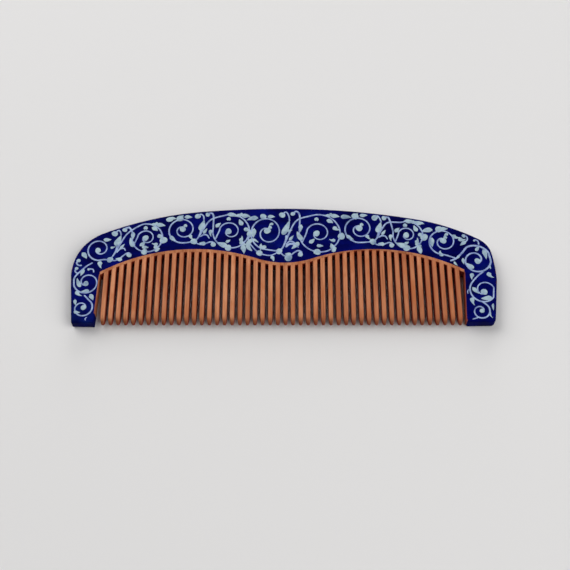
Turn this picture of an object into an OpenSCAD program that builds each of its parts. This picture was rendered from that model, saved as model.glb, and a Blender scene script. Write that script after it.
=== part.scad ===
// Decorative wooden hair comb: a painted crescent spine that runs down into a
// guard at each end, with a field of bare wooden teeth hung below a wavy line.
//
// Frame: the comb lies flat on its back. X runs along its length, Y from the
// tooth tips to the crown, Z from the back face (Z = 0) to the painted front.
// The origin is at the bottom centre of the comb's bounding box. Millimetres.

/* [Board] */
// Length over the two end guards
comb_l = 165.6; // [160:0.2:172]
// Height from the guards' feet to the crown
comb_h = 50.7; // [49:0.1:53]
// Thickness of the painted board
board_t = 5; // [4:0.25:6]
// Rounding of the board's outer edge
edge_r = 0.9; // [0.3:0.1:1.4]

/* [Left outline] */
// Radius of the shoulder between the crown and the left corner
left_shoulder_r = 126; // [110:1:140]
// Radius of the left corner
left_corner_r = 18.4; // [14:0.2:22]
// Radius of the left flank below the corner
left_flank_r = 30; // [24:1:40]

/* [Right outline] */
// Radius of the shoulder between the crown and the right corner
right_shoulder_r = 79; // [70:1:90]
// Radius of the right corner
right_corner_r = 9.4; // [7:0.2:12]
// Radius of the right flank below the corner
right_flank_r = 67; // [50:1:80]

/* [Feet] */
// How far each flank leans in between its widest point and its foot
flank_lean = 1.85; // [0.5:0.05:3]
// Rounding of the left guard's outer foot corner
left_foot_r = 0.6; // [0.6:0.1:3]
// Rounding of the right guard's outer foot corner
right_foot_r = 1.7; // [0.6:0.1:3]
// Rounding of the left guard's inner foot corner, beside the teeth
left_inner_r = 0.5; // [0.3:0.1:2.5]
// Rounding of the right guard's inner foot corner, beside the teeth
right_inner_r = 1.4; // [0.3:0.1:2.5]
// How much shorter the right guard is than the left one
right_foot_short = 0.4; // [0:0.1:1.2]

/* [Inner walls] */
// Distance of the left guard's inner wall from the comb's middle, at its top
left_wall_x = 71.5; // [70.8:0.1:73]
// Distance of the right guard's inner wall from the comb's middle, at its top
right_wall_x = 70.3; // [70:0.1:73]
// How far to the left of its top each inner wall ends at the foot
wall_lean = 0.8; // [0:0.1:1]

/* [Wave] */
// How far the wave sits to the right of the comb's middle
wave_shift = 0.3; // [-0.5:0.1:1]
// Distance of each hump of the paint line from the wave's middle
hump_x = 35; // [33:0.5:37]
// Height of the humps above the comb's middle
hump_y = 6.45; // [6:0.05:7]
// Radius of the humps
hump_r = 72; // [70:1:80]
// Height of the valley between the humps above the comb's middle
valley_y = 0.4; // [0:0.05:0.8]

/* [Teeth] */
// Number of teeth
tooth_count = 48; // [40:1:52]
// Length of the whole row of teeth, from the first one's side to the last one's
row_l = 138.2; // [134:0.1:139.4]
// How far the row of teeth sits to the right of the comb's middle
row_shift = -0.8; // [-1.5:0.1:0.2]
// Width of a tooth where it leaves the rail
tooth_w = 1.6; // [1.5:0.05:2]
// Width of a tooth where its point begins
tooth_low_w = 1.75; // [1.4:0.05:2]
// Width of the tooth's blunt point
tip_w = 1.1; // [0.6:0.05:1.3]
// Length of the tapered point
point_l = 2.6; // [2:0.1:5]
// How far the tips stop above the level of the guards' feet
tip_clear = 0.1; // [0.1:0.1:1]
// Step from the painted face down to the face of the teeth, front and back
face_step = 0.4; // [0.2:0.05:0.8]
// Thickness of a tooth where its point begins
tooth_low_t = 3.6; // [2.4:0.1:4]
// Thickness of the tooth's blunt point
tip_t = 1.4; // [0.8:0.1:2]

/* [Rail] */
// Height of the bare band between the paint line and the slots
rail_h = 1.15; // [1:0.05:1.6]
// How much deeper the slots are sawn on the right-hand hump
deep_cut = 0.85; // [0:0.05:0.85]
// Centre of the deeper cuts
deep_x = 31; // [20:1:40]
// Reach of the deeper cuts to each side
deep_reach = 14; // [8:1:20]

/* [Hidden] */
tooth_names = [for (i = [1 : tooth_count]) str("tooth_", i < 10 ? "0" : "", i)];

blue = [0.03, 0.04, 0.42];
wood = [0.78, 0.52, 0.36];

half_l = comb_l / 2;
crown_y = comb_h / 2;
foot_y = -comb_h / 2;
pitch = (row_l - tooth_w) / (tooth_count - 1);

// Radii of each half's shoulder, corner and flank, and the bearings at which its
// crown, shoulder, corner and flank end
left_radii = [left_shoulder_r, left_corner_r, left_flank_r];
left_turns = [5, 23.7, 80, 90];
right_radii = [right_shoulder_r, right_corner_r, right_flank_r];
right_turns = [10.6, 30, 80, 90];

// The valley arc is tangent to both hump arcs
hump_centre_y = hump_y - hump_r;
valley_rise = valley_y - hump_centre_y;
valley_r = (pow(valley_rise, 2) + pow(hump_x, 2) - pow(hump_r, 2)) / (2 * (hump_r - valley_rise));
valley_centre_y = valley_y + valley_r;
valley_edge_x = hump_x * valley_r / (hump_r + valley_r);

arc_parts = 6;      // straight pieces in one outline arc
foot_parts = 5;     // straight pieces in one foot corner or half a tooth tip
edge_layers = 3;    // layers in the rounding of the outer edge
overcut = 2;        // how far a cutting shape runs past the board

// Offset of a point at a bearing measured from +Y towards +X
function bearing(r, t) = [r * sin(t), r * cos(t)];

// Points of an arc between two bearings
function bow(centre, r, from, to, parts = arc_parts) =
    [for (i = [0 : parts]) centre + bearing(r, from + (to - from) * i / parts)];

// One half of the outline from the middle of the crown to the widest point, drawn
// on the right. The crown's radius follows from the length that the rest leaves over.
function half_edge(radii, turns) =
    let (spans = [for (k = [0 : 2]) radii[k] * (sin(turns[k + 1]) - sin(turns[k]))])
    let (crown_r = (half_l - spans[0] - spans[1] - spans[2]) / sin(turns[0]))
    let (crown = [0, crown_y - crown_r])
    let (shoulder = crown + bearing(crown_r - radii[0], turns[0]))
    let (corner = shoulder + bearing(radii[0] - radii[1], turns[1]))
    let (flank = corner + bearing(radii[1] - radii[2], turns[2]))
    concat(
        bow(crown, crown_r, 0, turns[0]),
        bow(shoulder, radii[0], turns[0], turns[1]),
        bow(corner, radii[1], turns[1], turns[2]),
        bow(flank, radii[2], turns[2], turns[3]));

// Outer corner of the right-hand foot, rounded to r and lifted by a little
function foot_corner(r, lift) =
    let (x = half_l - flank_lean)
    bow([x - r, foot_y + lift + r], r, 90, 180, foot_parts);

function mirrored(points) = [for (p = points) [-p.x, p.y]];
function reversed(points) = [for (i = [len(points) - 1 : -1 : 0]) points[i]];

// Height of the paint line: two humps with a valley between them
function wave_y(x) =
    let (run = abs(x - wave_shift))
    run < valley_edge_x
        ? valley_centre_y - sqrt(pow(valley_r, 2) - pow(run, 2))
        : hump_centre_y + sqrt(pow(hump_r, 2) - pow(run - hump_x, 2));

// Height of the slots' closed ends, a little below the paint line
function root_y(x) =
    wave_y(x) - rail_h + deep_cut * exp(-pow((x - deep_x) / deep_reach, 2));

function tooth_x(i) = row_shift + (i - (tooth_count + 1) / 2) * pitch;

// Where the paint line and the rail are broken into straight pieces: at the
// guards and at both sides of every tooth
stations = concat(
    [-left_wall_x],
    [for (i = [1 : tooth_count]) for (side = [-1, 1]) tooth_x(i) + side * tooth_w / 2],
    [right_wall_x]);

// Levels at which the guards meet the spine
left_joint_y = wave_y(-left_wall_x);
right_joint_y = wave_y(right_wall_x);

// Whole board without its slots, drawn inside a margin, with both feet lifted
module board_outline(margin, foot_r, lift) {
    right = concat(half_edge(right_radii, right_turns), foot_corner(foot_r, lift));
    left = concat(half_edge(left_radii, left_turns), foot_corner(foot_r, lift));
    offset(delta = -margin)
        polygon(concat(right, reversed(mirrored(left))));
}

// Solid board with a rounded outer edge, built up from nested slabs
module blank(foot_r, lift) {
    hull()
        for (i = [0 : edge_layers]) {
            turn = 90 * i / edge_layers;
            depth = edge_r * (1 - sin(turn));
            margin = edge_r * (1 - cos(turn));
            translate([0, 0, depth])
                linear_extrude(board_t - 2 * depth)
                    board_outline(margin, foot_r, lift);
        }
}

// The part of the painted board that lies inside an outline
module board_part(foot_r, lift, outline) {
    color(blue)
        intersection() {
            blank(foot_r, lift);
            linear_extrude(board_t)
                polygon(outline);
        }
}

// Painted crescent above the paint line, from one flank to the other
module spine() {
    far_x = half_l + overcut;
    far_y = crown_y + overcut;
    line = [for (x = stations) [x, wave_y(x)]];
    ends = [[far_x, right_joint_y], [far_x, far_y], [-far_x, far_y], [-far_x, left_joint_y]];
    board_part(left_foot_r, 0, concat(line, ends));
}

// Outline of the guard beside the last tooth, drawn on the right-hand side, from
// the spine down to a foot that is lifted above the comb's lowest level. Its inner
// wall is upright beside the rail and then leans out by a little.
function guard_outline(inner_r, lift, wall_x, joint_y, lean) =
    let (level = foot_y + lift)
    let (outer_x = half_l + overcut)
    let (low_y = foot_y - overcut)
    let (heel_x = wall_x + lean + inner_r)
    concat(
        [[heel_x, low_y]],
        bow([heel_x, level + inner_r], inner_r, 180, 270, foot_parts),
        [[wall_x, joint_y - rail_h], [wall_x, joint_y], [outer_x, joint_y], [outer_x, low_y]]);

module left_end_guard() {
    outline = guard_outline(left_inner_r, 0, left_wall_x, left_joint_y, wall_lean);
    board_part(left_foot_r, 0, mirrored(outline));
}

module right_end_guard() {
    lift = right_foot_short;
    outline = guard_outline(right_inner_r, lift, right_wall_x, right_joint_y, -wall_lean);
    board_part(right_foot_r, lift, outline);
}

// Bare band under the paint line, chamfered from the painted face to the teeth
module tooth_rail() {
    // Corners of the band's cross-section at one station, round from the back
    sections = [for (x = stations) [
        [x, wave_y(x), 0],
        [x, wave_y(x), board_t],
        [x, root_y(x), board_t - face_step],
        [x, root_y(x), face_step]]];
    corners = 4;
    last = len(sections) - 1;
    points = [for (s = sections) for (p = s) p];
    walls = [for (k = [0 : last - 1]) for (c = [0 : corners - 1])
        let (n = (c + 1) % corners)
        [k * corners + c, k * corners + n, (k + 1) * corners + n, (k + 1) * corners + c]];
    start_cap = [for (c = [corners - 1 : -1 : 0]) c];
    end_cap = [for (c = [0 : corners - 1]) last * corners + c];
    color(wood)
        polyhedron(points, concat(walls, [start_cap, end_cap]));
}

// One tooth: its front outline and its side outline cut from each other
module tooth(i) {
    tip_y = foot_y + tip_clear;
    point_y = tip_y + point_l;
    mid = tooth_x(i);
    tip_r = tip_w / 2;
    tip_centre = [0, tip_y + tip_r];

    right_side = concat(
        [[tooth_w / 2, root_y(mid + tooth_w / 2)], [tooth_low_w / 2, point_y]],
        bow(tip_centre, tip_r, 90, 180, foot_parts));
    left_side = concat(
        bow(tip_centre, tip_r, 180, 270, foot_parts),
        [[-tooth_low_w / 2, point_y], [-tooth_w / 2, root_y(mid - tooth_w / 2)]]);

    // Half of the tooth's side outline: even at the root, thinner to the point
    root_t = board_t - 2 * face_step;
    thinning_y = min(left_joint_y, right_joint_y) - rail_h;
    front = [
        [tip_y, tip_t / 2], [point_y, tooth_low_t / 2],
        [thinning_y, root_t / 2], [hump_y, root_t / 2]];
    back = [for (p = front) [p.x, -p.y]];

    color(wood)
        intersection() {
            translate([mid, 0, 0])
                linear_extrude(board_t)
                    polygon(concat(right_side, left_side));
            translate([mid - tooth_w, 0, board_t / 2])
                rotate([90, 0, 90])
                    linear_extrude(2 * tooth_w)
                        polygon(concat(front, reversed(back)));
        }
}

spine();
left_end_guard();
right_end_guard();
tooth_rail();
for (i = [1 : tooth_count])
    tooth(i);
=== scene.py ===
"""A decorative wooden hair comb lying on its back: a blue painted board with a
pale painted vine, and a row of bare wooden teeth below a wavy paint line.

All sizes below are millimetres in the comb's own frame, as in the CAD model:
X along the comb, Y from the tips of the teeth to the crown, Z up from the back.
"""
import math
import random
from types import SimpleNamespace

import bmesh
import bpy
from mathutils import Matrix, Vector
from mathutils.kdtree import KDTree


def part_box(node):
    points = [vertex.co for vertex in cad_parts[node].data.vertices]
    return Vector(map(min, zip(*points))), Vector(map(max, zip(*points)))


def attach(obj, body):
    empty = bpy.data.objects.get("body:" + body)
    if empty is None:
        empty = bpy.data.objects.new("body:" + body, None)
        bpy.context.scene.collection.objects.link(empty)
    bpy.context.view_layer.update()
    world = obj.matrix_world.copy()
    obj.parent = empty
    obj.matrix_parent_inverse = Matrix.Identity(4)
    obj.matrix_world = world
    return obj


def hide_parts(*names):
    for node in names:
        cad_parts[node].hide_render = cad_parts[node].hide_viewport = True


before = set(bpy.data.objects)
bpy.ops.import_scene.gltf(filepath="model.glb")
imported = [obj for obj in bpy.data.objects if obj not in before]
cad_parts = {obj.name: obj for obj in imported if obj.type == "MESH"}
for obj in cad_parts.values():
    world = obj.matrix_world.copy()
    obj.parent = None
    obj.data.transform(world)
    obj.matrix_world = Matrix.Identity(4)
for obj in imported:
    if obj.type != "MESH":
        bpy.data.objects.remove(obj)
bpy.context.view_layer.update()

MM = 0.001


def node_box(name):
    """Lowest and highest corner of a CAD node, in millimetres."""
    low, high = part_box(name)
    return Vector(low) / MM, Vector(high) / MM


# ---------------------------------------------------------------- sizes

RAIL_LOW, RAIL_HIGH = node_box("tooth_rail")
LEFT_LOW, LEFT_HIGH = node_box("left_end_guard")
RIGHT_LOW, RIGHT_HIGH = node_box("right_end_guard")
SPINE_HIGH = node_box("spine")[1]
TOOTH_NAMES = sorted(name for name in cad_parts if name.startswith("tooth_") and name != "tooth_rail")

HALF_L = RIGHT_HIGH.x
CROWN_Y = SPINE_HIGH.y
BOARD_T = SPINE_HIGH.z
LEFT_WALL_X = RAIL_LOW.x
RIGHT_WALL_X = RAIL_HIGH.x
WALL_LEAN = 0.8         # both inner walls lean this far to the left on their way down

# outline of each half: radii of its shoulder, corner and flank, and the
# bearings at which its crown, shoulder, corner and flank end
RADII = {"left": (126, 18.4, 30), "right": (79, 9.4, 67)}
TURNS = {"left": (5, 23.7, 80, 90), "right": (10.6, 30, 80, 90)}
FLANK_LEAN = 1.85       # how far the flanks draw in from the widest point to the feet

# rounding of the feet's outer corners and of their corners beside the teeth
LEFT_FOOT_R = 0.6
RIGHT_FOOT_R = 1.7
LEFT_INNER_R = 0.5
RIGHT_INNER_R = 1.4

# the wavy paint line, two arcs with a valley between them, and the bare rail
# below it; the slots are sawn deeper into the rail round DEEP_X
WAVE_SHIFT = 0.3
HUMP_X = 35
HUMP_Y = 6.45
HUMP_R = 72
VALLEY_Y = 0.4
RAIL_H = 1.15
DEEP_CUT = 0.85
DEEP_X = 31
DEEP_REACH = 14
FACE_STEP = 0.4         # the teeth lie this far inside both faces of the board
SLOT_SOFT = 0.12        # rounding where the rail ends at the slots
RAIL_PROUD = 0.03       # the rail's lip stands this far over the faces of the teeth
RAIL_TONE = 0.12        # how much darker than the palest wood the rail is

# teeth: width and thickness where the point starts and at the tip
POINT_L = 2.6
TOOTH_LOW_W = 1.75
TIP_W = 1.1
TOOTH_LOW_T = 3.6
TIP_T = 1.4
TOOTH_SWAY = 0.05       # most that one tooth bends sideways
ROOT_OVERLAP = 0.12     # a tooth runs this far into the rail
TONE_MEAN = 0.09        # darkness of single teeth, from 0 for the palest wood
TONE_SPREAD = 0.12
TONE_RISE = 0.0055      # added per millimetre towards the right end
TONE_MOST = 0.55
LOW_TONE = 0.16         # added towards the foot of each tooth
# the points darken from end grain and from painted shade on their down-facing bevels
FADE_L = 6              # length of the brown fade above a tip
DARK_END_L = 1.1        # length over which a tip's dark end fades

# finish
PAINT_H = 0.08          # height of the raised vine over the blue
EDGE_R = 0.9            # rounding of the outer edge
WALL_EDGE_R = 0.22      # rounding of the guards' inner edges
HEEL_STEPS = 8          # steps round each corner of a foot
WRAP_STEPS = 5          # steps above the left foot's inner corner that are painted too
WEAR_REACH = 10         # wear sets in half this far above the feet and grows over this height
WALL_WEAR = 0.3         # wear on the outer wall, as a share of that on its edge
FRONT_Z = BOARD_T - PAINT_H
BACK_Z = PAINT_H
MID_Z = BOARD_T / 2

# mesh steps along and across the board
SPINE_STEPS = 260
SPINE_ROWS = 12
GUARD_STEPS = 32
GUARD_ROWS = 8
RAIL_STEPS = 420

# the two guards: foot_r and inner_r round the outer and inner corner of the foot,
# painted counts the steps of the inner wall that are painted from the foot up,
# and shade is how much painted shade the bare rest of that wall gets
GUARDS = (
    SimpleNamespace(
        node="left_end_guard", side=-1, wall_x=LEFT_WALL_X, joint_y=LEFT_HIGH.y, foot_y=LEFT_LOW.y,
        foot_r=LEFT_FOOT_R, inner_r=LEFT_INNER_R, painted=HEEL_STEPS + WRAP_STEPS, shade=0.25,
    ),
    SimpleNamespace(
        node="right_end_guard", side=1, wall_x=RIGHT_WALL_X, joint_y=RIGHT_HIGH.y, foot_y=RIGHT_LOW.y,
        foot_r=RIGHT_FOOT_R, inner_r=RIGHT_INNER_R, painted=HEEL_STEPS // 2, shade=0.85,
    ),
)


# ---------------------------------------------------------------- outlines

def bearing(radius, turn):
    """Offset at a bearing measured from +Y towards +X, in degrees."""
    return Vector((radius * math.sin(math.radians(turn)), radius * math.cos(math.radians(turn))))


def bow(centre, radius, start, end, count):
    """Points of an arc between two bearings."""
    return [centre + bearing(radius, start + (end - start) * i / count) for i in range(count + 1)]


def half_edge(half):
    """Outline from the middle of the crown to a half's widest point, drawn on the right."""
    shoulder_r, corner_r, flank_r = RADII[half]
    turns = TURNS[half]
    sines = [bearing(1, turn).x for turn in turns]
    spans = sum(r * (sines[k + 1] - sines[k]) for k, r in enumerate(RADII[half]))
    crown_r = (HALF_L - spans) / sines[0]
    crown = Vector((0, CROWN_Y - crown_r))
    shoulder = crown + bearing(crown_r - shoulder_r, turns[0])
    corner = shoulder + bearing(shoulder_r - corner_r, turns[1])
    flank = corner + bearing(corner_r - flank_r, turns[2])
    return (
        bow(crown, crown_r, 0, turns[0], 40)
        + bow(shoulder, shoulder_r, turns[0], turns[1], 40)[1:]
        + bow(corner, corner_r, turns[1], turns[2], 24)[1:]
        + bow(flank, flank_r, turns[2], turns[3], 16)[1:]
    )


def mirrored(points):
    """The same points on the other side of the middle."""
    return [Vector((-p.x, p.y)) for p in points]


def crossing(a, b, y):
    """Point between a and b at height y."""
    return a.lerp(b, (y - a.y) / (b.y - a.y))


def split_at(points, y):
    """A falling line of points, split at a height into the parts above and below."""
    for i, (a, b) in enumerate(zip(points, points[1:])):
        if a.y > y >= b.y:
            cut = crossing(a, b, y)
            return points[: i + 1] + [cut], [cut] + points[i + 1:]
    return points, []


def length_of(points):
    """Length of a line of points."""
    return sum((b - a).length for a, b in zip(points, points[1:]))


def evenly(points, count):
    """The same line with count equal steps."""
    step = length_of(points) / count
    out = [points[0]]
    want = step
    gone = 0.0
    for a, b in zip(points, points[1:]):
        part = (b - a).length
        while want <= gone + part + 1e-9 and len(out) < count:
            out.append(a.lerp(b, (want - gone) / part))
            want += step
        gone += part
    out.append(points[-1])
    return out


def wave_y(x):
    """Height of the paint line: two humps with a valley between them."""
    run = abs(x - WAVE_SHIFT)
    hump_centre = HUMP_Y - HUMP_R
    rise = VALLEY_Y - hump_centre
    valley_r = (rise**2 + HUMP_X**2 - HUMP_R**2) / (2 * (HUMP_R - rise))
    if run < HUMP_X * valley_r / (HUMP_R + valley_r):
        return VALLEY_Y + valley_r - math.sqrt(valley_r**2 - run**2)
    return hump_centre + math.sqrt(HUMP_R**2 - (run - HUMP_X) ** 2)


def root_y(x):
    """Height of the closed ends of the slots."""
    return wave_y(x) - RAIL_H + DEEP_CUT * math.exp(-(((x - DEEP_X) / DEEP_REACH) ** 2))


def guard_edges(guard):
    """Outer and inner edge of a guard, both from its joint down to its foot."""
    left = guard.side < 0
    foot_x = HALF_L - FLANK_LEAN
    bend_y = guard.foot_y + guard.foot_r
    flank = mirrored(half_edge("left")) if left else half_edge("right")
    corner = bow(Vector((foot_x - guard.foot_r, bend_y)), guard.foot_r, 90, 180, HEEL_STEPS)
    corner = mirrored(corner) if left else corner
    outer_low = split_at(flank + corner, guard.joint_y)[1]
    straight = [p for p in outer_low if p.y > bend_y + 1e-6]
    outer = evenly(straight + [corner[0]], GUARD_STEPS) + corner[1:]

    heel_x = guard.side * (guard.wall_x - WALL_LEAN) + guard.inner_r
    heel = bow(Vector((heel_x, guard.foot_y + guard.inner_r)), guard.inner_r, 270, 180, HEEL_STEPS)
    heel = mirrored(heel) if left else heel
    wall = [Vector((guard.wall_x, y)) for y in (guard.joint_y, guard.joint_y - RAIL_H)] + [heel[0]]
    return outer, evenly(wall, GUARD_STEPS) + heel[1:]


def spine_edges():
    """Crown edge and wavy edge of the spine, both from left to right."""
    foot_x = HALF_L - FLANK_LEAN
    right = split_at(half_edge("right") + [Vector((foot_x, RIGHT_LOW.y))], RIGHT_HIGH.y)[0]
    left = split_at(half_edge("left") + [Vector((foot_x, LEFT_LOW.y))], LEFT_HIGH.y)[0]
    crown = evenly(mirrored(left)[::-1] + right[1:], SPINE_STEPS)
    fine = 600
    span = RIGHT_WALL_X - LEFT_WALL_X
    wave = [Vector((LEFT_WALL_X + span * i / fine, 0)) for i in range(fine + 1)]
    for p in wave:
        p.y = wave_y(p.x)
    return crown, evenly(wave, SPINE_STEPS)


# ---------------------------------------------------------------- mesh helpers

def clamped(value, high=1.0):
    """The value, kept between 0 and a highest value."""
    return min(high, max(0.0, value))


def placed(name, data):
    """A new object in the scene that holds this data."""
    item = bpy.data.objects.new(name, data)
    bpy.context.scene.collection.objects.link(item)
    return item


def join_rings(bm, rings):
    """Side faces between neighbouring closed rings of vertices."""
    for a, b in zip(rings, rings[1:]):
        for i in range(len(a)):
            n = (i + 1) % len(a)
            bm.faces.new((a[i], a[n], b[n], b[i]))


def loft(bm, rings):
    """A closed solid through rings of vertices."""
    join_rings(bm, rings)
    bm.faces.new(rings[0][::-1])
    bm.faces.new(rings[-1])


def new_object(name, bm, materials, smooth_angle=35):
    """A Blender object from a bmesh in millimetres, riding on the comb's one body."""
    bmesh.ops.recalc_face_normals(bm, faces=bm.faces)
    for face in bm.faces:
        face.smooth = True
    for edge in bm.edges:
        edge.smooth = edge.calc_face_angle(0.0) < math.radians(smooth_angle)
    bmesh.ops.scale(bm, vec=(MM, MM, MM), verts=bm.verts)
    mesh = bpy.data.meshes.new(name)
    bm.to_mesh(mesh)
    bm.free()
    for material in materials:
        mesh.materials.append(material)
    piece = placed(name, mesh)
    flat = piece.modifiers.new("flat_faces", "WEIGHTED_NORMAL")
    flat.keep_sharp = True
    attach(piece, "root")
    return piece


def inward_normals(points, inside, first=None):
    """Unit normals of a line of points, on the side where the inside point is."""
    normals = []
    last = len(points) - 1
    for i in range(last + 1):
        along = (points[min(i + 1, last)] - points[max(i - 1, 0)]).normalized()
        normal = Vector((-along.y, along.x))
        if normal.dot(inside[i] - points[i]) < 0:
            normal.negate()
        normals.append(normal)
    if first is not None:
        normals[0] = first
    return normals


def board_piece(name, side_a, side_b, radii_a, radii_b, normals_a, normals_b, rows, materials,
                painted=0, shade=0.0):
    """A flat solid between two edges, with a rounded rim.

    The edges run from one joint to the other end of the piece, and straight
    rungs join them. Each edge point has its own share of the rounding. The last
    material goes on the wall of side b, apart from its last painted steps, and
    shade sets how much painted shade that wall gets.
    """
    steps = 5
    last = len(side_a) - 1
    bm = bmesh.new()
    edge_layer = bm.verts.layers.float.new("edge")
    wall_shade_layer = bm.verts.layers.float.new("flank")

    def level_loop(k):
        """Plan of the border at one level of the rounding, and its depth."""
        turn = math.radians(90 * k / steps)
        inset = 1 - math.cos(turn)
        a = [p + n * r * inset for p, n, r in zip(side_a, normals_a, radii_a)]
        b = [p + n * r * inset for p, n, r in zip(side_b, normals_b, radii_b)]
        far = [a[-1].lerp(b[-1], j / rows) for j in range(1, rows)]
        near = [b[0].lerp(a[0], j / rows) for j in range(1, rows)]
        return a, b, a + far + b[::-1] + near, EDGE_R * (1 - math.sin(turn))

    loops = []
    for face_z, sign in ((FRONT_Z, -1), (BACK_Z, 1)):
        stack = []
        for k in range(steps + 1):
            a, b, plan, depth = level_loop(k)
            ring = [bm.verts.new((p.x, p.y, face_z + sign * depth)) for p in plan]
            rubbed = math.sin(math.radians(180 * k / steps)) if k else WALL_WEAR
            for vert in ring:
                grown = (vert.co.y - LEFT_LOW.y) / WEAR_REACH - 0.5
                vert[edge_layer] = rubbed * clamped(grown)
                # painted shade for the bare wall of side b
                vert[wall_shade_layer] = shade
            stack.append(ring)
        loops.append(stack)

    count = len(loops[0][0])
    wall_first = last + rows + painted
    wall_last = last + rows + last

    def band(low, high):
        """Faces between two loops round the border."""
        for i in range(count):
            n = (i + 1) % count
            face = bm.faces.new((low[i], low[n], high[n], high[i]))
            if wall_first <= i < wall_last:
                face.material_index = len(materials) - 1

    for stack in loops:
        for low, high in zip(stack, stack[1:]):
            band(low, high)
    band(loops[1][0], loops[0][0])

    for stack, face_z in ((loops[0], FRONT_Z), (loops[1], BACK_Z)):
        border = stack[-1]
        a, b, _, _ = level_loop(steps)
        grid = {}
        for i in range(last + 1):
            grid[i, 0] = border[i]
            grid[i, rows] = border[last + rows + (last - i)]
        for j in range(1, rows):
            grid[last, j] = border[last + j]
            grid[0, j] = border[2 * last + rows + (rows - j)]
        for i in range(1, last):
            for j in range(1, rows):
                p = a[i].lerp(b[i], j / rows)
                grid[i, j] = bm.verts.new((p.x, p.y, face_z))
        for i in range(last):
            for j in range(rows):
                bm.faces.new((grid[i, j], grid[i + 1, j], grid[i + 1, j + 1], grid[i, j + 1]))
    return new_object(name, bm, materials)


# ---------------------------------------------------------------- materials

def shader(name):
    """A new material, its node tree and its main shader."""
    material = bpy.data.materials.new(name)
    material.use_nodes = True
    tree = material.node_tree
    bsdf = tree.nodes["Principled BSDF"]
    return material, tree, bsdf


def add(tree, kind, **settings):
    """A new node of one kind."""
    node = tree.nodes.new(kind)
    for key, value in settings.items():
        setattr(node, key, value)
    return node


def noise(tree, scale, detail=3.0, roughness=0.5, stretch=(1, 1, 1), shift=(0, 0, 0)):
    """Noise in the comb's own space, with a scale in cycles per metre."""
    place = add(tree, "ShaderNodeTexCoord")
    mapping = add(tree, "ShaderNodeMapping")
    mapping.inputs["Scale"].default_value = stretch
    mapping.inputs["Location"].default_value = shift
    tree.links.new(place.outputs["Object"], mapping.inputs["Vector"])
    texture = add(tree, "ShaderNodeTexNoise")
    texture.inputs["Scale"].default_value = scale
    texture.inputs["Detail"].default_value = detail
    texture.inputs["Roughness"].default_value = roughness
    tree.links.new(mapping.outputs["Vector"], texture.inputs["Vector"])
    return texture.outputs["Fac"]


def ramp(tree, value, stops):
    """Colour ramp: stops are (position, colour)."""
    node = add(tree, "ShaderNodeValToRGB")
    elements = node.color_ramp.elements
    for i, (position, colour) in enumerate(stops):
        element = elements[i] if i < 2 else elements.new(position)
        element.position = position
        element.color = (*colour, 1)
    tree.links.new(value, node.inputs["Fac"])
    return node.outputs["Color"]


def levels(tree, value, low, high, to_low=0.0, to_high=1.0):
    """Value stretched from one range to another, and clamped."""
    node = add(tree, "ShaderNodeMapRange")
    node.inputs["From Min"].default_value = low
    node.inputs["From Max"].default_value = high
    node.inputs["To Min"].default_value = to_low
    node.inputs["To Max"].default_value = to_high
    tree.links.new(value, node.inputs["Value"])
    return node.outputs["Result"]


def calc(tree, operation, a, b):
    """Math node over two values, each a socket or a number."""
    node = add(tree, "ShaderNodeMath", operation=operation)
    for socket, value in zip(node.inputs, (a, b)):
        if isinstance(value, (int, float)):
            socket.default_value = value
        else:
            tree.links.new(value, socket)
    return node.outputs["Value"]


def blend_colours(tree, amount, a, b):
    """Mix of two colours, each a socket or an (r, g, b)."""
    node = add(tree, "ShaderNodeMix", data_type="RGBA")
    factor, first, second = node.inputs[0], node.inputs[6], node.inputs[7]
    for socket, value in ((factor, amount), (first, a), (second, b)):
        if isinstance(value, (int, float)):
            socket.default_value = value
        elif isinstance(value, tuple):
            socket.default_value = (*value, 1)
        else:
            tree.links.new(value, socket)
    return node.outputs[2]


def attribute(tree, name):
    """Value that the mesh holds for each vertex."""
    return add(tree, "ShaderNodeAttribute", attribute_name=name).outputs["Fac"]


def bump(tree, bsdf, height, distance):
    """Fine relief, with its depth in metres."""
    node = add(tree, "ShaderNodeBump")
    node.inputs["Strength"].default_value = 1.0
    node.inputs["Distance"].default_value = distance
    tree.links.new(height, node.inputs["Height"])
    tree.links.new(node.outputs["Normal"], bsdf.inputs["Normal"])


def blue_enamel():
    """Brushed blue enamel, deeper in places and rubbed through along the edge."""
    material, tree, bsdf = shader("blue_enamel")
    patches = noise(tree, 110, 4, 0.6)
    streaks = noise(tree, 240, 3, 0.55, stretch=(0.35, 1.6, 1))
    mixed = calc(tree, "ADD", calc(tree, "MULTIPLY", patches, 0.6), calc(tree, "MULTIPLY", streaks, 0.4))
    colour = ramp(tree, mixed, [
        (0.36, (0.0001, 0.0003, 0.040)),
        (0.66, (0.0006, 0.0035, 0.140)),
        (0.50, (0.0002, 0.0012, 0.080)),
    ])
    faded = levels(tree, noise(tree, 60, 3, 0.6, shift=(0.4, 0.1, 0)), 0.60, 0.74, 0.0, 0.55)
    colour = blend_colours(tree, faded, colour, (0.004, 0.022, 0.16))
    worn = calc(tree, "MULTIPLY", attribute(tree, "edge"), noise(tree, 420, 4, 0.65))
    worn = levels(tree, worn, 0.50, 0.62)
    colour = blend_colours(tree, worn, colour, (0.16, 0.035, 0.022))
    tree.links.new(colour, bsdf.inputs["Base Color"])
    tree.links.new(levels(tree, patches, 0.3, 0.7, 0.46, 0.62), bsdf.inputs["Roughness"])
    bsdf.inputs["Specular IOR Level"].default_value = 0.015
    bump(tree, bsdf, mixed, 0.00006)
    return material


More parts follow.
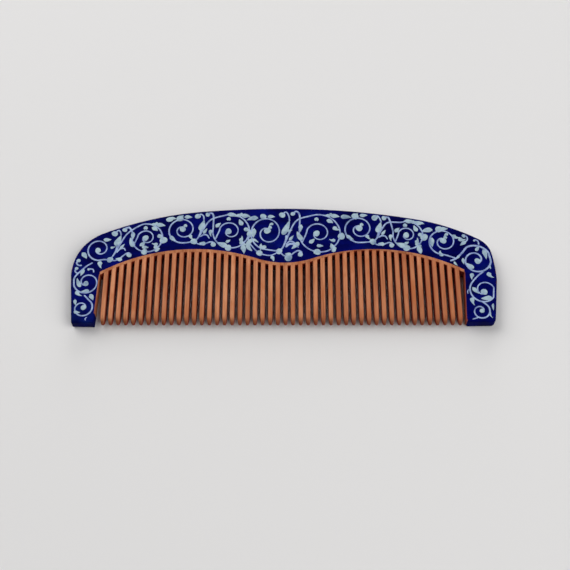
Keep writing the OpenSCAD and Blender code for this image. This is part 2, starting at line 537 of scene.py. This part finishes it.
def bare_wood():
    """Fine reddish wood with the grain along the teeth, darker at their points from end grain and painted
    shade, and with painted shade on the sides of the teeth, the slot ends and the guards' bare walls.
    """
    material, tree, bsdf = shader("bare_wood")
    fibres = noise(tree, 1500, 4, 0.6, stretch=(1, 0.05, 1))
    bands = noise(tree, 260, 3, 0.5, stretch=(1, 0.12, 1))
    mixed = calc(tree, "ADD", calc(tree, "MULTIPLY", fibres, 0.45), calc(tree, "MULTIPLY", bands, 0.55))
    colour = ramp(tree, mixed, [
        (0.38, (0.36, 0.104, 0.034)),
        (0.60, (0.67, 0.275, 0.130)),
        (0.49, (0.54, 0.200, 0.085)),
    ])
    tone = attribute(tree, "tone")
    colour = blend_colours(tree, tone, colour, (0.38, 0.106, 0.038))
    pores = levels(tree, noise(tree, 2600, 2, 0.5, stretch=(1, 0.09, 1)), 0.64, 0.74, 0.0, 0.5)
    colour = blend_colours(tree, pores, colour, (0.16, 0.045, 0.018))
    clouds = noise(tree, 380, 3, 0.6, stretch=(1, 0.35, 1), shift=(0.3, 0.5, 0))
    blotches = levels(tree, clouds, 0.50, 0.66, 0.0, 0.6)
    colour = blend_colours(tree, blotches, colour, (0.45, 0.115, 0.026))
    # darker points: end grain and painted shade on their down-facing bevels
    point = attribute(tree, "point")
    colour = blend_colours(tree, calc(tree, "MULTIPLY", point, 0.9), colour, (0.17, 0.038, 0.008))
    # painted shade: the flank mask darkens the sides of the teeth, the slot ends and the guards' bare walls
    # towards dark red
    flank = calc(tree, "MULTIPLY", attribute(tree, "flank"), 0.9)
    colour = blend_colours(tree, flank, colour, (0.24, 0.010, 0.002))
    tree.links.new(colour, bsdf.inputs["Base Color"])
    tree.links.new(levels(tree, fibres, 0.3, 0.7, 0.5, 0.68), bsdf.inputs["Roughness"])
    bsdf.inputs["Specular IOR Level"].default_value = 0.3
    bump(tree, bsdf, mixed, 0.00005)
    return material


def vine_paint(name, pale, deep):
    """Thin opaque brush paint, a little uneven."""
    material, tree, bsdf = shader(name)
    uneven = noise(tree, 520, 4, 0.6)
    colour = ramp(tree, uneven, [(0.32, deep), (0.62, pale)])
    thin = levels(tree, noise(tree, 180, 3, 0.6, shift=(0.2, 0.7, 0)), 0.54, 0.74, 0.0, 0.55)
    colour = blend_colours(tree, thin, colour, (0.03, 0.08, 0.22))
    tree.links.new(colour, bsdf.inputs["Base Color"])
    tree.links.new(levels(tree, uneven, 0.3, 0.7, 0.42, 0.6), bsdf.inputs["Roughness"])
    bsdf.inputs["Specular IOR Level"].default_value = 0.3
    bump(tree, bsdf, uneven, 0.00003)
    return material


BLUE = blue_enamel()
WOOD = bare_wood()
STEM_PAINT = vine_paint("stem_paint", (0.365, 0.475, 0.70), (0.16, 0.217, 0.465))
LEAF_PAINT = vine_paint("leaf_paint", (0.41, 0.545, 0.61), (0.27, 0.385, 0.50))


# ---------------------------------------------------------------- board

def make_board():
    """The painted spine and the two guards."""
    crown, wave = spine_edges()
    radii = [EDGE_R] * len(crown)
    normals = inward_normals(crown, wave)
    normals[0] = Vector((1, 0))
    normals[-1] = Vector((-1, 0))
    # the wavy edge isn't rounded, because it meets the rail
    flat = [0.0] * len(wave)
    still = [Vector((0, 0))] * len(wave)
    spine = board_piece("painted_spine", crown, wave, radii, flat, normals, still, SPINE_ROWS, [BLUE])
    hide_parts("spine")

    for end in GUARDS:
        node = end.node
        outer, inner = guard_edges(end)
        radii = [EDGE_R] * len(outer)
        inner_radii = [WALL_EDGE_R if p.y < end.joint_y - RAIL_H else 0.0 for p in inner]
        outer_in = inward_normals(outer, inner, Vector((-end.side, 0)))
        inner_in = inward_normals(inner, outer, Vector((end.side, 0)))
        outer_in[-1] = Vector((0, 1))
        inner_in[-1] = Vector((0, 1))
        guard = board_piece(
            "painted_" + node, outer, inner, radii, inner_radii, outer_in, inner_in,
            GUARD_ROWS, [BLUE, WOOD], end.painted, end.shade,
        )
        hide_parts(node)


def make_rail():
    """Bare band under the paint line, chamfered down to the faces of the teeth."""
    bm = bmesh.new()
    tone = bm.verts.layers.float.new("tone")
    flank = bm.verts.layers.float.new("flank")
    rings = []
    for i in range(RAIL_STEPS + 1):
        x = LEFT_WALL_X + (RIGHT_WALL_X - LEFT_WALL_X) * i / RAIL_STEPS
        high, low = wave_y(x), root_y(x)
        lip = low + SLOT_SOFT
        profile = (
            (high, BACK_Z), (high, FRONT_Z), (lip, BOARD_T - FACE_STEP + RAIL_PROUD),
            (low, BOARD_T - FACE_STEP - SLOT_SOFT), (low, FACE_STEP + SLOT_SOFT),
            (lip, FACE_STEP - RAIL_PROUD),
        )
        ring = [bm.verts.new((x, y, z)) for y, z in profile]
        for vert in ring:
            vert[tone] = RAIL_TONE
        # painted shade on the closed ends of the slots
        shaded_slot_end = ring[3:5]
        for vert in shaded_slot_end:
            vert[flank] = 1.0
        rings.append(ring)
    loft(bm, rings)
    rail = new_object("bare_tooth_rail", bm, [WOOD])
    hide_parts("tooth_rail")


def rounded_section(half_w, half_t, corner):
    """Points (x, z, sideways) of a rounded rectangle across a tooth."""
    points = []
    for start, sx, sz in ((0, 1, 1), (90, -1, 1), (180, -1, -1), (270, 1, -1)):
        for turn in (0, 30, 60, 90):
            a = math.radians(start + turn)
            points.append((
                sx * (half_w - corner) + corner * math.cos(a),
                sz * (half_t - corner) + corner * math.sin(a),
                abs(math.cos(a)),
            ))
    return points


def point_grain_and_shade(rise):
    """How dark the wood is at a height above the tip, from end grain and painted shade on the down-facing
    point: a long fade and a dark end.
    """
    fade = max(0.0, 1 - rise / FADE_L)
    dark_end = clamped(1.7 - rise / DARK_END_L)
    return 0.3 * fade + 0.7 * dark_end


def make_tooth(name, rng):
    """One sawn and sanded tooth, from inside the rail to its blunt point."""
    low, high = node_box(name)
    mid = (low.x + high.x) / 2
    top_w = high.x - low.x
    tip_y, point_y = low.y, low.y + POINT_L
    top_y = high.y + ROOT_OVERLAP
    thinning_y = min(LEFT_HIGH.y, RIGHT_HIGH.y) - RAIL_H
    root_t = BOARD_T - 2 * FACE_STEP
    sway = rng.uniform(-TOOTH_SWAY, TOOTH_SWAY)
    own_tone = clamped(rng.gauss(TONE_MEAN, TONE_SPREAD) + TONE_RISE * max(0.0, mid), TONE_MOST)

    # heights of the sections: even down the shaft, closer together round the tip
    stations = [top_y + (point_y - top_y) * i / 14 for i in range(15)]
    stations += [point_y + (tip_y - point_y) * t for t in (0.2, 0.4, 0.6, 0.75, 0.86, 0.93, 0.975, 1.0)]
    bm = bmesh.new()
    tone = bm.verts.layers.float.new("tone")
    point = bm.verts.layers.float.new("point")
    flank = bm.verts.layers.float.new("flank")
    rings = []
    for y in stations:
        # shares, from 0 to 1, of the way down the shaft, the thinning and the point
        down = clamped((top_y - y) / (top_y - point_y))
        thin = clamped((thinning_y - y) / (thinning_y - point_y))
        end = clamped((point_y - y) / POINT_L)
        width = top_w + (TOOTH_LOW_W - top_w) * down
        depth = root_t + (TOOTH_LOW_T - root_t) * thin
        width += (TIP_W - TOOTH_LOW_W) * end**1.6
        depth += (TIP_T - TOOTH_LOW_T) * end**1.1
        nose = clamped((y - tip_y) / (TIP_W / 2))
        blunt = 0.35 + 0.65 * math.sqrt(1 - (1 - nose) ** 2)
        half_w = width / 2 * blunt
        half_t = depth / 2 * (1 + blunt) / 2
        corner = min(half_w, half_t) * (0.22 + 0.04 * down**2 + 0.4 * end)
        shift = sway * down * (1 - end)
        ring = []
        for dx, dz, sideways in rounded_section(half_w, half_t, corner):
            vert = bm.verts.new((mid + shift + dx, y, MID_Z + dz))
            vert[tone] = own_tone + LOW_TONE * down**2
            # end grain and painted shade towards the tip
            vert[point] = point_grain_and_shade(y - tip_y)
            # painted shade on the sides of the tooth, deepest near the rail
            vert[flank] = sideways ** (1 + 2 * down)
            ring.append(vert)
        rings.append(ring)
    loft(bm, rings)
    tooth = new_object("sanded_" + name, bm, [WOOD], smooth_angle=50)
    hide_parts(name)


make_board()
make_rail()
tooth_rng = random.Random(11)
for tooth_name in TOOTH_NAMES:
    make_tooth(tooth_name, tooth_rng)


# ---------------------------------------------------------------- painted vine

# The vine repeats between neighbouring roots. Each repeat springs from a root
# berry, climbs over a large coil and ends in a smaller coil that hangs from the
# next root. A place in a repeat is (u, n): u runs from root to root, and n runs
# across the band, from -1 on the paint line to 1 on the crown.
ROOTS = (-68, -35.5, -1.8, 35.2, 67.5)
ROOT_N = -0.60
TALL_BAND = 10          # half height from which the band has room for more stems
ROOMY_COIL = 5.5        # radius from which a small coil has room for more turns
PAINT_MARGIN = 1.0      # blue left bare inside the outer edge
LINE_MARGIN = 0.3       # blue left bare above the paint line and beside the walls
STEM_W = 0.57           # width of a plain stem
STROKE_STEP = 0.3       # length of one piece of a brush stroke
PAINT_SUNK = 0.03       # the paint's underside lies this far inside the blue
PAINT_LIP = 0.012       # height of the paint at its rim

EDGES = {"left": half_edge("left"), "right": half_edge("right")}
vine_rng = random.Random(5)
stems = []
leaves = []
dabs = []


def polar(turn, radius):
    """Offset at an angle counted anticlockwise from +X, in degrees."""
    return Vector((radius * math.cos(math.radians(turn)), radius * math.sin(math.radians(turn))))


def crown_y(x):
    """Height of the crown edge at a place along the comb."""
    run = abs(x)
    edge = EDGES["left" if x < 0 else "right"]
    for a, b in zip(edge, edge[1:]):
        if a.x <= run <= b.x:
            return a.y + (b.y - a.y) * (run - a.x) / (b.x - a.x)
    return edge[-1].y


def half_band(x):
    """Half of the height of the painted band."""
    return (crown_y(x) - wave_y(x)) / 2


def on_band(x, n):
    """Point at n across the band, from -1 on the paint line to 1 on the crown."""
    return Vector((x, wave_y(x) + (1 + n) * half_band(x)))


def shaken(value, amount):
    """The value, changed at random by up to an amount."""
    return value + vine_rng.uniform(-amount, amount)


def stroke(points, widths, strokes=stems):
    """A brush stroke through points; the widths are spread evenly along it."""
    strokes.append(([Vector(p) for p in points], list(widths)))


def dab(at, radius):
    """A round dab of paint."""
    dabs.append((Vector(at), shaken(radius, 0.07 * radius)))


def whorl(centre, start, turns, wide, narrow, tall=1.0):
    """Points of a coil that runs inwards; negative turns run clockwise."""
    count = max(6, round(abs(turns) * 14))
    points = []
    for i in range(count + 1):
        t = i / count
        offset = polar(start + 360 * turns * t, wide + (narrow - wide) * t**1.3)
        points.append(centre + Vector((offset.x, offset.y * tall)))
    return points


def coil(lead, centre, start, turns, wide, narrow, dot, tall=1.0, width=STEM_W):
    """A stem that runs in through lead and coils up to a dot of paint."""
    points = whorl(centre, start, turns, wide, narrow, tall)
    end = points[-1]
    stroke(lead + points, (width, width * 1.1, width, width * 0.9, width * 0.95))
    dab(end + (centre - end).normalized() * dot * 0.75, dot)


def curved(at, heading, length, curl, count=5):
    """Points of a short stroke that turns by curl degrees over its length."""
    points = [Vector(at)]
    for i in range(count - 1):
        points.append(points[-1] + polar(heading + curl * (i + 0.5) / (count - 1), length / (count - 1)))
    return points


def leaf(at, heading, length, width, curl=25):
    """A pointed leaf, widest before its middle."""
    width = shaken(width, 0.08)
    widths = (0.3 * width, width, 0.95 * width, 0.55 * width, 0.12)
    stroke(curved(at, shaken(heading, 4), length, curl), widths, leaves)


def drop(at, heading, length, width, curl=20):
    """A leaf that widens to a round end."""
    width = shaken(width, 0.08)
    widths = (0.3, 0.55 * width, 0.9 * width, width, 0.7 * width)
    stroke(curved(at, shaken(heading, 3), length, curl), widths, leaves)


def comma(at, heading, length, width, curl=90):
    """A round head with a hooked tail."""
    width = shaken(width, 0.08)
    widths = (0.7 * width, width, 0.62 * width, 0.3 * width, 0.15)
    stroke(curved(at, shaken(heading, 5), length, curl), widths, leaves)


def heart(at, heading, size):
    """Two lobes that meet in a point."""
    for lean in (-1, 1):
        lobe = curved(at, heading + 30 * lean, size, -38 * lean, 4)
        stroke(lobe, (0.2, 0.5 * size, 0.62 * size, 0.35 * size), leaves)


def bird(at, heading, size):
    """A leaf with a long lobe, a short lobe and a knob between them."""
    leaf(at, heading, 1.5 * size, 0.72 * size, -35)
    leaf(at, heading + 150, 0.95 * size, 0.6 * size, 30)
    drop(at, heading + 75, 0.6 * size, 0.45 * size, 0)


def hooked_stem(points, dot):
    """A hooked stem that starts at a dot."""
    dab(points[0], dot)
    stroke(points, (STEM_W * 1.3, STEM_W, STEM_W * 0.95, STEM_W * 1.05))


SHAPES = {"leaf": leaf, "drop": drop, "comma": comma}

# Leaves round a coil: kind, bearing and distance in coil radii from its centre,
# heading, length and width in millimetres, and how far it curls
LARGE_DRESS = (
    (
        ("comma", 24, 0.80, -70, 3.2, 1.9, 80), ("drop", 176, 0.98, -80, 4.4, 1.9, 30),
        ("leaf", 232, 0.66, 25, 3.0, 1.6, 30), ("comma", -24, 0.84, -150, 2.6, 1.6, -70),
        ("leaf", 148, 0.92, -100, 3.4, 1.6, 15), ("leaf", 64, 0.80, -10, 3.0, 1.7, -40),
        ("drop", -74, 0.70, 165, 2.6, 1.5, 20),
    ),
    (
        ("comma", 14, 0.80, -75, 3.2, 1.9, 95), ("leaf", 100, 1.02, 10, 5.0, 1.7, -40),
        ("drop", 222, 0.92, -30, 4.3, 2.2, 20), ("leaf", 160, 0.76, 60, 2.8, 1.5, -30),
        ("comma", 178, 0.96, -120, 3.2, 1.5, 60), ("comma", -50, 0.76, 30, 2.8, 1.7, 80),
        ("drop", 54, 0.86, -75, 3.0, 1.8, 20), ("leaf", 256, 0.66, 10, 2.2, 1.3, 40),
    ),
)
SMALL_DRESS = (
    (
        ("leaf", 205, 1.00, -60, 3.6, 1.5, 40), ("comma", -38, 0.66, -95, 3.0, 1.6, 75),
        ("drop", 118, 1.06, 165, 4.2, 2.0, 25), ("leaf", 100, 1.00, 68, 2.4, 1.3, -20),
        ("leaf", 88, 1.06, 15, 3.2, 1.6, -25), ("comma", 12, 1.18, -40, 2.6, 1.6, 90),
    ),
    (
        ("leaf", 158, 0.86, -98, 4.4, 1.9, 15), ("comma", 58, 0.70, 150, 2.4, 1.3, 140),
        ("comma", 18, 1.16, -60, 3.2, 1.9, 100), ("leaf", 122, 1.18, 170, 4.8, 2.0, 45),
        ("leaf", 262, 1.14, 175, 3.0, 1.5, -120), ("leaf", 92, 1.10, 25, 3.0, 1.5, -35),
    ),
)


def dress(centre, radius, items):
    """Leaves round a coil."""
    for kind, turn, reach, heading, length, width, bend in items:
        at = centre + polar(shaken(turn, 5), radius * reach)
        SHAPES[kind](at, heading, length, width, bend)


def repeat(k):
    """One repeat of the vine, from its root berry to the next."""
    x0, length = ROOTS[k], ROOTS[k + 1] - ROOTS[k]

    def place(u, n):
        """Point at (u, n) in this repeat, moved a little at random."""
        return on_band(x0 + u * length, n) + Vector((shaken(0, 0.12), shaken(0, 0.12)))

    root, next_root = on_band(x0, ROOT_N), on_band(ROOTS[k + 1], ROOT_N)
    large = on_band(x0 + 0.42 * length, -0.05)
    large_r = min(0.79 * half_band(large.x), 0.235 * length)
    small = on_band(x0 + 0.86 * length, 0.06)
    small_r = min(0.66 * half_band(small.x), 0.19 * length)
    tall = min(1.12, max(1.0, 0.62 * half_band(small.x) / small_r))
    small_turns = -1.5 if small_r > ROOMY_COIL else -1.15
    join = large + polar(-8, large_r + 0.5)

    # climbing stem over the large coil and down its far side
    dab(root, 1.25)
    climb = [root, place(0.045, -0.42), place(0.105, 0.06), place(0.19, 0.52)]
    arch = [large + polar(turn, large_r) for turn in (112, 88, 64, 40, 16, -8, -32)]
    stroke(climb + arch, (0.5, 0.75, 0.62, 0.6, 0.6, 0.55, 0.6, 0.6))
    dab(join, 1.45)

    # hooked stem that crosses it and closes the circle from below
    hook = [place(0.15, 0.78), place(0.185, 0.86), place(0.218, 0.72)]
    lower_half = ((160, 0.92), (188, 0.88), (216, 0.90), (244, 0.93), (272, 0.97), (300, 1.0), (330, 1.0))
    under = [large + polar(turn, large_r * reach) for turn, reach in lower_half]
    hooked_stem(hook + under, 0.95)
    dab(large + polar(266, large_r * 0.97), 1.3)

    # coil inside the circle, with a two-lobed leaf below it and one near the crown
    lead = [large + polar(212, 0.88 * large_r)]
    coil(lead, large, 180, -1.0, 0.56 * large_r, 0.2 * large_r, 1.3, width=0.52)
    bird(large + polar(-52, 1.02 * large_r), -60, 2.7)
    bird(large + polar(58, 1.08 * large_r), 10, 2.5)
    heart(large + polar(95, 0.86 * large_r), -92, 1.7)
    dress(large, large_r, LARGE_DRESS[k % 2])

    # small coil, hung from the next root
    start = math.degrees(math.atan2(next_root.y - small.y, next_root.x - small.x)) - 28
    coil([next_root], small, start, small_turns, 1.08 * small_r, 0.25 * small_r, 1.3, tall)
    dab(small + Vector((-0.26 * small_r, 1.02 * small_r * tall)), 1.3)
    heart(small + polar(70, 0.52 * small_r), -95, 1.5)
    dress(small, small_r, SMALL_DRESS[k % 2])

    # teardrop on its own hook, left of the climbing stem
    hooked_stem([place(0.035, 0.74), place(0.07, 0.84), place(0.10, 0.72), place(0.112, 0.50)], 1.2)
    drop(place(0.112, 0.52), -104, 0.52 * half_band(x0) + 0.6, 2.3, -14)
    stroke([place(0.075, 0.0), place(0.07, -0.16), place(0.055, -0.32)], (0.7, 0.6, 0.5))

    # sprig in the fork of the stems
    leaf(place(0.105, -0.20), 52, 2.9, 1.1, 5)
    fork = [place(0.07, -0.36), place(0.11, -0.24), place(0.155, -0.28), place(0.18, -0.44)]
    stroke(fork, (0.4, 0.65, 0.6, 0.4))

    # low sprig along the paint line
    sprig = [root, place(0.05, -0.74), place(0.11, -0.76), place(0.16, -0.66), place(0.20, -0.61)]
    hooked_stem([place(0.225, -0.74), place(0.235, -0.66)] + sprig[::-1], 1.0)
    drop(place(0.065, -0.68), -15, 2.6, 1.7, 10)

    # tall stretches of the band have room for one more stem below the coils
    if half_band(small.x) > TALL_BAND:
        berry = place(0.77, -0.76)
        low_stem = [join, place(0.64, -0.34), place(0.68, -0.56), berry, place(0.9, -0.78), next_root]
        stroke(low_stem, (0.5,) * 4)
        dab(berry, 1.2)
        hooked_leaf = [place(0.76, -0.36), place(0.70, -0.30), place(0.645, -0.42)]
        hooked_leaf += [place(0.64, -0.62), place(0.68, -0.76)]
        stroke(hooked_leaf, (0.4, 1.2, 1.8, 1.7, 0.5), leaves)
        comma(place(0.85, -0.50), 150, 3.6, 1.5, 130)
        comma(place(0.90, -0.80), -25, 3.2, 1.5, -90)
    if half_band(x0) > TALL_BAND:
        dab(place(0.10, -0.82), 1.4)
        drop(place(0.13, -0.52), 38, 4.2, 1.9, 15)
        low_arch = [place(0.07, -0.44), place(0.11, -0.34), place(0.17, -0.36), place(0.21, -0.50)]
        stroke(low_arch, (0.9, 0.85, 0.85, 0.45))


def left_end():
    """Coils from the first root round the left corner and down the guard."""
    root = on_band(ROOTS[0], ROOT_N)
    coil([root], Vector((-72.5, 6.3)), -66, -1.2, 5.0, 1.5, 1.1)
    leaf((-79.2, 4.8), -42, 3.4, 1.8, -25)
    leaf((-71.2, 10.8), -15, 3.2, 1.5, 25)
    comma((-71.6, 1.0), -105, 3.4, 1.9, 60)
    comma((-68.2, 7.0), -5, 2.2, 1.1, 40)
    hooked_stem([(-80.2, 1.3), (-80.9, 0.2), (-80.0, -0.8), (-78.7, -0.8)], 0.75)
    hooked_stem([(-80.7, -2.2), (-81.2, -3.3), (-80.4, -4.2), (-79.6, -4.1)], 0.65)

    coil([(-74.6, 0.4), (-76.9, -1.2)], Vector((-76.2, -8.2)), 128, 1.32, 5.4, 1.5, 1.1)
    drop((-80.1, -6.4), -76, 4.2, 1.6, 20)
    leaf((-78.0, -2.2), -100, 3.4, 1.5, -10)
    drop((-78.0, -12.2), 2, 3.0, 1.6, 15)
    hooked_stem([(-76.0, -2.6), (-75.3, -2.4), (-74.2, -2.7), (-73.9, -4.0)], 0.5)

    coil([(-76.8, -13.7)], Vector((-77.1, -19.2)), 58, -1.12, 4.1, 1.3, 1.0)
    comma((-79.8, -11.9), -80, 3.4, 1.7, 80)
    leaf((-74.6, -13.4), -48, 3.0, 1.6, -20)
    leaf((-80.0, -15.6), -95, 2.5, 1.2, 35)
    leaf((-80.2, -20.8), -25, 2.6, 1.3, 30)
    stroke([(-74.8, -23.0), (-75.5, -23.8), (-75.3, -24.6)], (0.25, 0.5, 0.3))


def right_end():
    """The stem from the last root, coiling round the right corner and down."""
    root = on_band(ROOTS[-1], ROOT_N)
    lead = [root + Vector((-2.4, -1.1)), root, root + Vector((2.6, 2.6))]
    coil(lead, Vector((75.2, 1.5)), 118, -1.42, 6.6, 1.6, 1.15, width=0.7)
    leaf((78.3, 6.3), -62, 4.6, 1.7, -25)
    drop((71.3, 0.2), -48, 3.6, 1.9, 25)
    hooked_stem([(71.2, 12.4), (72.4, 12.0), (72.5, 10.6), (71.5, 9.6)], 0.8)
    leaf((72.0, 10.0), -148, 3.2, 1.5, 10)
    hooked_stem([(75.2, 10.3), (76.1, 10.6), (76.8, 9.6), (76.8, 8.3)], 0.45)
    drop((76.9, 8.0), -118, 2.8, 1.4, -10)
    comma((66.8, 12.9), -62, 3.6, 1.9, 90)
    comma((68.6, 3.6), -100, 2.2, 1.2, -60)
    leaf((70.2, 2.4), -95, 2.8, 1.2, 20)
    leaf((66.5, 0.9), -62, 2.4, 0.9, 0)
    leaf((80.1, -0.7), -75, 1.9, 0.8, 0)

    coil([(77.7, -3.6), (75.6, -5.2)], Vector((77.3, -11.7)), 138, 1.35, 5.6, 1.6, 1.25)
    comma((79.6, -3.8), -92, 3.4, 1.9, 85)
    comma((73.6, -4.4), -135, 3.0, 1.8, 60)
    leaf((72.9, -10.4), -58, 3.6, 1.5, 10)
    drop((75.8, -15.2), -2, 4.2, 1.9, 15)
    stroke([(71.3, -11.2), (70.9, -12.2), (70.9, -13.3)], (0.25, 0.4, 0.25))

    coil([(76.1, -16.6)], Vector((75.3, -20.5)), 52, -1.12, 3.6, 1.2, 0.95)
    comma((72.5, -14.8), -105, 3.6, 1.7, 55)
    stroke([(74.4, -23.2), (72.8, -23.7), (71.8, -24.0)], (0.3, 0.45, 0.35))
    comma((78.8, -20.9), -105, 2.9, 0.9, 75)
    leaf((80.3, -17.3), -92, 3.0, 0.9, 0)


def rim_tree():
    """Nearest-point search over the edges of the painted area."""
    edges = []
    crown, wave = spine_edges()
    edges.append((crown, inward_normals(crown, wave), PAINT_MARGIN))
    edges.append((wave, inward_normals(wave, crown), LINE_MARGIN))
    for guard in GUARDS:
        outer, inner = guard_edges(guard)
        edges.append((outer, inward_normals(outer, inner), PAINT_MARGIN))
        edges.append((inner, inward_normals(inner, outer), LINE_MARGIN))
    spots = [(p, n, margin) for line, normals, margin in edges for p, n in zip(line, normals)]
    tree = KDTree(len(spots))
    for i, (p, _, _) in enumerate(spots):
        tree.insert((p.x, p.y, 0), i)
    tree.balance()
    return tree, spots


def kept_inside(p, half_w, tree, spots):
    """The same place, or the nearest one that leaves a margin of blue."""
    _, index, _ = tree.find((p.x, p.y, 0))
    edge, normal, margin = spots[index]
    short = margin + half_w - (p - edge).dot(normal)
    return p + normal * short if short > 0 else p


def smooth_value(a, b, c, d, f):
    """Catmull-Rom value at the fraction f between b and c."""
    return 0.5 * (2 * b + (c - a) * f + (2 * a - 5 * b + 4 * c - d) * f * f + (3 * b - a - 3 * c + d) * f**3)


def smooth_line(knots, t):
    """Value or point at t along knots that are one apart."""
    last = len(knots) - 1
    k = min(int(t), last - 1)
    return smooth_value(knots[max(k - 1, 0)], knots[k], knots[k + 1], knots[min(k + 2, last)], t - k)


def brush_samples(points, widths):
    """Even samples (place, half width) along a stroke."""
    last = len(points) - 1
    fine = [smooth_line(points, last * i / (16 * last)) for i in range(16 * last + 1)]
    count = max(4, round(length_of(fine) / STROKE_STEP))
    line = evenly(fine, count)
    spread = len(widths) - 1
    return [(p, max(0.05, smooth_line(widths, spread * i / count) / 2)) for i, p in enumerate(line)]


def paint_stroke(bm, samples, face_z, up):
    """A low domed ribbon on one face of the board."""
    last = len(samples) - 1
    total = length_of([p for p, _ in samples])
    gone = 0.0
    rings = []
    for i, (p, half_w) in enumerate(samples):
        if i:
            gone += (p - samples[i - 1][0]).length
        before, after = samples[max(i - 1, 0)][0], samples[min(i + 1, last)][0]
        along = (after - before).normalized()
        across = Vector((-along.y, along.x))
        near_end = min(gone, total - gone)
        if near_end < half_w:
            half_w *= max(0.25, math.sqrt(1 - (1 - near_end / half_w) ** 2))
        height = PAINT_H * min(1.0, half_w / 0.3)
        shoulder = 0.72 * height
        section = ((-1, -PAINT_SUNK), (-1, PAINT_LIP), (-0.6, shoulder), (0, height),
                   (0.6, shoulder), (1, PAINT_LIP), (1, -PAINT_SUNK))
        ring = []
        for reach, lift in section:
            q = p + across * half_w * reach
            ring.append(bm.verts.new((q.x, q.y, face_z + up * lift)))
        rings.append(ring)
    loft(bm, rings)


def paint_dab(bm, centre, radius, phase, face_z, up):
    """A low dome with a slightly uneven outline."""
    sides = 18
    profile = ((1.0, -PAINT_SUNK), (1.0, PAINT_LIP), (0.8, 0.6 * PAINT_H), (0.45, 0.94 * PAINT_H))
    rings = []
    for reach, lift in profile:
        ring = []
        for j in range(sides):
            a = math.tau * j / sides
            uneven = 1 + 0.06 * math.sin(2 * a + phase) + 0.035 * math.sin(3 * a + 2 * phase)
            r = radius * reach * uneven
            x, y = centre.x + r * math.cos(a), centre.y + r * math.sin(a)
            ring.append(bm.verts.new((x, y, face_z + up * lift)))
        rings.append(ring)
    top = bm.verts.new((centre.x, centre.y, face_z + up * PAINT_H))
    join_rings(bm, rings)
    for j in range(sides):
        bm.faces.new((rings[-1][j], rings[-1][(j + 1) % sides], top))
    bm.faces.new(rings[0][::-1])


def make_vine():
    """The vine on the front, and the same vine on the back."""
    left_end()
    for k in range(len(ROOTS) - 1):
        repeat(k)
    right_end()
    tree, spots = rim_tree()
    phases = [vine_rng.uniform(0, math.tau) for _ in dabs]
    for face, face_z, up in (("front", FRONT_Z, 1), ("back", BACK_Z, -1)):
        for kind, strokes, paint in (("stems", stems, STEM_PAINT), ("leaves", leaves, LEAF_PAINT)):
            bm = bmesh.new()
            for points, widths in strokes:
                samples = brush_samples(points, widths)
                samples = [(kept_inside(p, w, tree, spots), w) for p, w in samples]
                paint_stroke(bm, samples, face_z, up)
            if kind == "leaves":
                for (centre, radius), phase in zip(dabs, phases):
                    paint_dab(bm, kept_inside(centre, radius, tree, spots), radius, phase, face_z, up)
            vine = new_object(f"vine_{kind}_{face}", bm, [paint], smooth_angle=60)


make_vine()


# ---------------------------------------------------------------- stage

# sizes and places here are in metres, as Blender has them
FLOOR_HALF = 1.5
CAMERA_AT = Vector((0.0005, -0.1936, 0.3664))
CAMERA_AIM = Vector((0.0005, -0.0069, 0))
ROOM_LIGHT = 0.02       # strength of the light from all round


def facing(direction):
    """Rotation that turns a light or camera to look along a direction."""
    return direction.to_track_quat("-Z", "Y").to_euler()


def make_floor():
    """A plain pale table top."""
    bm = bmesh.new()
    bmesh.ops.create_grid(bm, x_segments=2, y_segments=2, size=FLOOR_HALF)
    mesh = bpy.data.meshes.new("floor")
    bm.to_mesh(mesh)
    bm.free()
    floor = placed("floor", mesh)
    material, _, bsdf = shader("floor_paint")
    bsdf.inputs["Base Color"].default_value = (0.80, 0.79, 0.785, 1)
    bsdf.inputs["Roughness"].default_value = 0.9
    bsdf.inputs["Specular IOR Level"].default_value = 0.1
    mesh.materials.append(material)


def make_lights():
    """Three soft boxes in a nearly dark room, so that the gaps between the teeth stay dark."""
    world = bpy.data.worlds.new("soft_room")
    bpy.context.scene.world = world
    world.use_nodes = True
    background = world.node_tree.nodes["Background"]
    background.inputs["Color"].default_value = (1.0, 0.99, 0.985, 1)
    background.inputs["Strength"].default_value = ROOM_LIGHT
    # soft boxes: name, place, side length in metres and power in watts
    soft_boxes = (
        ("key", Vector((-0.95, 0.75, 1.0)), 1.4, 19.2),
        ("fill", Vector((0.9, -0.5, 0.9)), 1.4, 14.9),
        ("back", Vector((0.1, 1.6, 0.42)), 0.8, 12.0),
    )
    for name, place, size, power in soft_boxes:
        data = bpy.data.lights.new(name, "AREA")
        data.shape = "SQUARE"
        data.size = size
        data.energy = power
        light = placed(name, data)
        light.location = place
        light.rotation_euler = facing(-place)


def make_camera():
    """The photograph's camera, 63 degrees above the table."""
    data = bpy.data.cameras.new("camera")
    data.sensor_width = 36
    data.lens = 66.3
    data.clip_start = 0.01
    camera = placed("camera", data)
    camera.location = CAMERA_AT
    camera.rotation_euler = facing(CAMERA_AIM - CAMERA_AT)
    bpy.context.scene.camera = camera


make_floor()
make_lights()
make_camera()
bpy.context.scene.view_settings.view_transform = "Standard"
